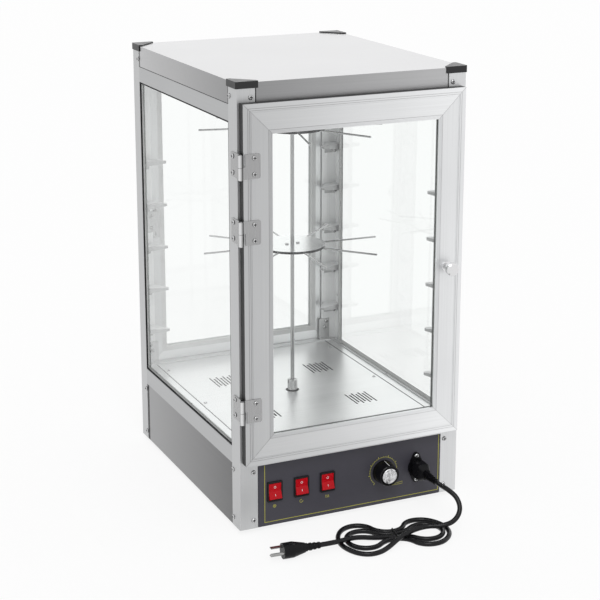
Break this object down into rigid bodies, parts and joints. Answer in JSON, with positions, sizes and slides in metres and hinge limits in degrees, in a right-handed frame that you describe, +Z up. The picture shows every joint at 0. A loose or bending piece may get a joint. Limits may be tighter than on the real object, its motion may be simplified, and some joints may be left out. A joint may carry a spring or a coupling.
{
  "type": "rotating display case",
  "caption": "Aluminium-framed glass cabinet with hinged glass doors at front and rear, a motor-driven rack of radial rods inside, and a base with switches, thermostat and mains lead",
  "frame": {"origin": "the centre of the case's footprint, on the table that its feet stand on", "axes": "+X is to the right as one faces the controls, +Y points to the rear door, +Z is up"},
  "size_m": [0.393, 0.6499, 0.708],
  "materials": {
    "aluminium": "satin anodised",
    "steel": "brushed",
    "bright_steel": "polished",
    "white_sheet": "satin paint",
    "panel": "matt dark grey paint",
    "glass": "clear",
    "seal": "matt",
    "black_plastic": "matt",
    "grey_plastic": "matt",
    "red_plastic": "gloss",
    "ceramic": "glazed",
    "brass": "plain"
  },
  "bodies": {
    "case": {"base_panels": "steel", "base_plate": "steel", "case_hinge_leaves": "steel", "case_screws": "steel", "control_panel": "panel", "cord_connector": "black_plastic", "cord_hank": "seal", "cord_lead": "seal", "cord_tail": "seal", "corner_braces": "steel", "corner_caps": "black_plastic", "corner_posts": "aluminium", "door_catches": "steel", "floor_ledges": "white_sheet", "floor_panel": "white_sheet", "gear_motor": "steel", "hank_tie": "black_plastic", "head_rails": "aluminium", "heat_tray": "steel", "heating_element": "steel", "hinge_pins": "steel", "lamp_bulb": "glass", "lamp_holder": "ceramic", "lid": "steel", "mains_plug": "black_plastic", "motor_bracket": "steel", "plug_pins": "brass", "power_inlet": "black_plastic", "rubber_feet": "seal", "shelf_supports": "grey_plastic", "side_gaskets": "seal", "side_glass": "glass", "sill_rails": "aluminium", "switch_housings": "black_plastic", "terminal_block": "ceramic", "thermostat_body": "black_plastic"},
    "front_door": {"front_door_frame": "aluminium", "front_door_seals": "seal", "front_door_glass": "glass", "front_door_knob": "bright_steel", "front_door_strike": "steel", "front_door_hinge_leaves": "steel", "front_door_screws": "steel"},
    "rear_door": {"rear_door_frame": "aluminium", "rear_door_seals": "seal", "rear_door_glass": "glass", "rear_door_knob": "bright_steel", "rear_door_strike": "steel", "rear_door_hinge_leaves": "steel", "rear_door_screws": "steel"},
    "rack": {"rack_shaft": "steel", "drive_socket": "steel", "rack_discs": "bright_steel", "rack_rods": "bright_steel", "rack_hubs": "steel"},
    "rocker_light": {"rocker_light": "red_plastic"},
    "rocker_motor": {"rocker_motor": "red_plastic"},
    "rocker_heat": {"rocker_heat": "red_plastic"},
    "thermostat_knob": {"thermostat_knob": "black_plastic", "knob_insert": "steel"}
  },
  "joints": [
    {"name": "front_door_hinge", "type": "hinge", "parent": "case", "child": "front_door", "pos_m": [-0.1925, -0.244, 0.3968], "axis": [0, 0, -1], "range_deg": [0, 180]},
    {"name": "rear_door_hinge", "type": "hinge", "parent": "case", "child": "rear_door", "pos_m": [0.1925, 0.244, 0.3968], "axis": [0, 0, -1], "range_deg": [0, 180]},
    {"name": "rack_turn", "type": "hinge", "parent": "case", "child": "rack", "pos_m": [0, 0, 0.14], "axis": [0, 0, 1], "continuous": true},
    {"name": "rocker_light_pivot", "type": "hinge", "parent": "case", "child": "rocker_light", "pos_m": [-0.1325, -0.224, 0.064], "axis": [1, 0, 0], "range_deg": [0, 20]},
    {"name": "rocker_motor_pivot", "type": "hinge", "parent": "case", "child": "rocker_motor", "pos_m": [-0.087, -0.224, 0.064], "axis": [1, 0, 0], "range_deg": [0, 20]},
    {"name": "rocker_heat_pivot", "type": "hinge", "parent": "case", "child": "rocker_heat", "pos_m": [-0.042, -0.224, 0.064], "axis": [1, 0, 0], "range_deg": [0, 20]},
    {"name": "thermostat_turn", "type": "hinge", "parent": "case", "child": "thermostat_knob", "pos_m": [0.0575, -0.24, 0.0634], "axis": [0, 1, 0], "range_deg": [0, 270]}
  ]
}
